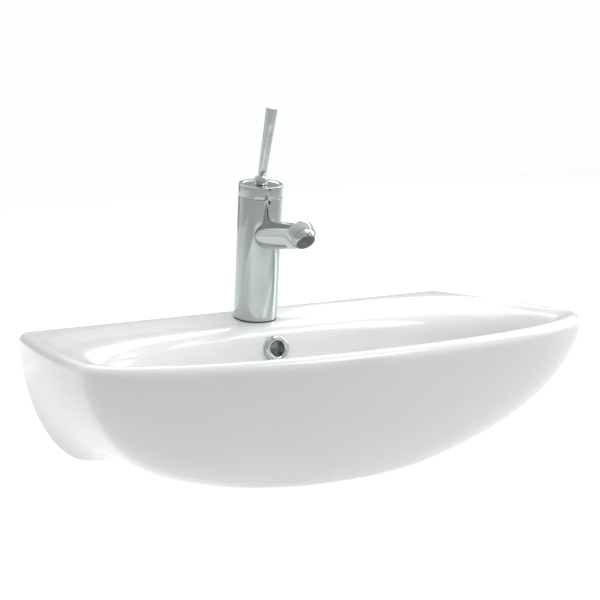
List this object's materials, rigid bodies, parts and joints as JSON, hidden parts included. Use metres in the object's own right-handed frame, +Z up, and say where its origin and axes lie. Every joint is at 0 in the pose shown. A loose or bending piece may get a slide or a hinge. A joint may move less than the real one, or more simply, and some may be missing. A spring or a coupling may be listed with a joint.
{
  "type": "semi-pedestal basin with mixer tap",
  "caption": "Wall-hung basin for a semi-pedestal, with a single-lever pin-handle mixer tap, overflow ring and push waste.",
  "frame": {"origin": "midway between the two wall fixing holes, on the wall plane", "axes": "+X along the wall to the user's right, -Y from the wall towards the user, +Z up"},
  "size_m": [0.5972, 0.3539, 0.3937],
  "materials": {
    "glaze": "white glaze, high gloss",
    "chrome": "polished chrome plate",
    "rubber": "matt black rubber",
    "nut_plastic": "satin dark grey moulding",
    "inner_plastic": "satin off-white moulding",
    "zinc_steel": "zinc plated steel",
    "brass": "plain turned brass",
    "stem_steel": "turned stainless steel",
    "aerator_mesh": "grey mesh insert"
  },
  "bodies": {
    "basin_and_fixed_pieces": {"basin": "glaze", "overflow_ring": "chrome", "waste_body": "chrome", "waste_seal": "rubber", "waste_washer": "rubber", "waste_nut": "nut_plastic", "click_mechanism": "inner_plastic", "tap_base_seal": "rubber", "tap_body": "chrome", "spout_collar": "chrome", "fixing_rubber": "rubber", "fixing_plate": "zinc_steel", "fixing_nut": "zinc_steel", "fixing_stud": "zinc_steel", "cartridge_seal_hot": "rubber", "cartridge_seal_cold": "rubber", "cartridge_seal_mixed": "rubber", "cartridge_body": "inner_plastic", "cartridge_nut": "brass", "cap_glide_ring": "inner_plastic"},
    "handle": {"handle_cap": "chrome", "cartridge_rotor": "brass"},
    "lever": {"lever_ball": "chrome", "lever_pin": "chrome", "lever_stem": "stem_steel", "grub_screw": "stem_steel"},
    "nozzle": {"aerator_ball": "chrome", "aerator_seal": "rubber", "aerator_insert": "aerator_mesh"},
    "plug": {"plug_cap": "chrome", "plug_seal": "rubber", "plug_post": "inner_plastic"}
  },
  "joints": [
    {"name": "handle_turn", "type": "hinge", "parent": "basin_and_fixed_pieces", "child": "handle", "pos_m": [0, -0.05674, 0.22455], "axis": [0, -0.1392, 0.9903], "range_deg": [-45, 45]},
    {"name": "lever_tilt", "type": "hinge", "parent": "handle", "child": "lever", "pos_m": [0, -0.0582, 0.23495], "axis": [-1, 0, 0], "range_deg": [0, 27]},
    {"name": "nozzle_tilt", "type": "hinge", "parent": "basin_and_fixed_pieces", "child": "nozzle", "pos_m": [0, -0.15316, 0.18084], "axis": [1, 0, 0], "range_deg": [-12, 12]},
    {"name": "plug_slide", "type": "slide", "parent": "basin_and_fixed_pieces", "child": "plug", "axis": [0, 0, 1], "range_m": [-0.009, 0]}
  ]
}
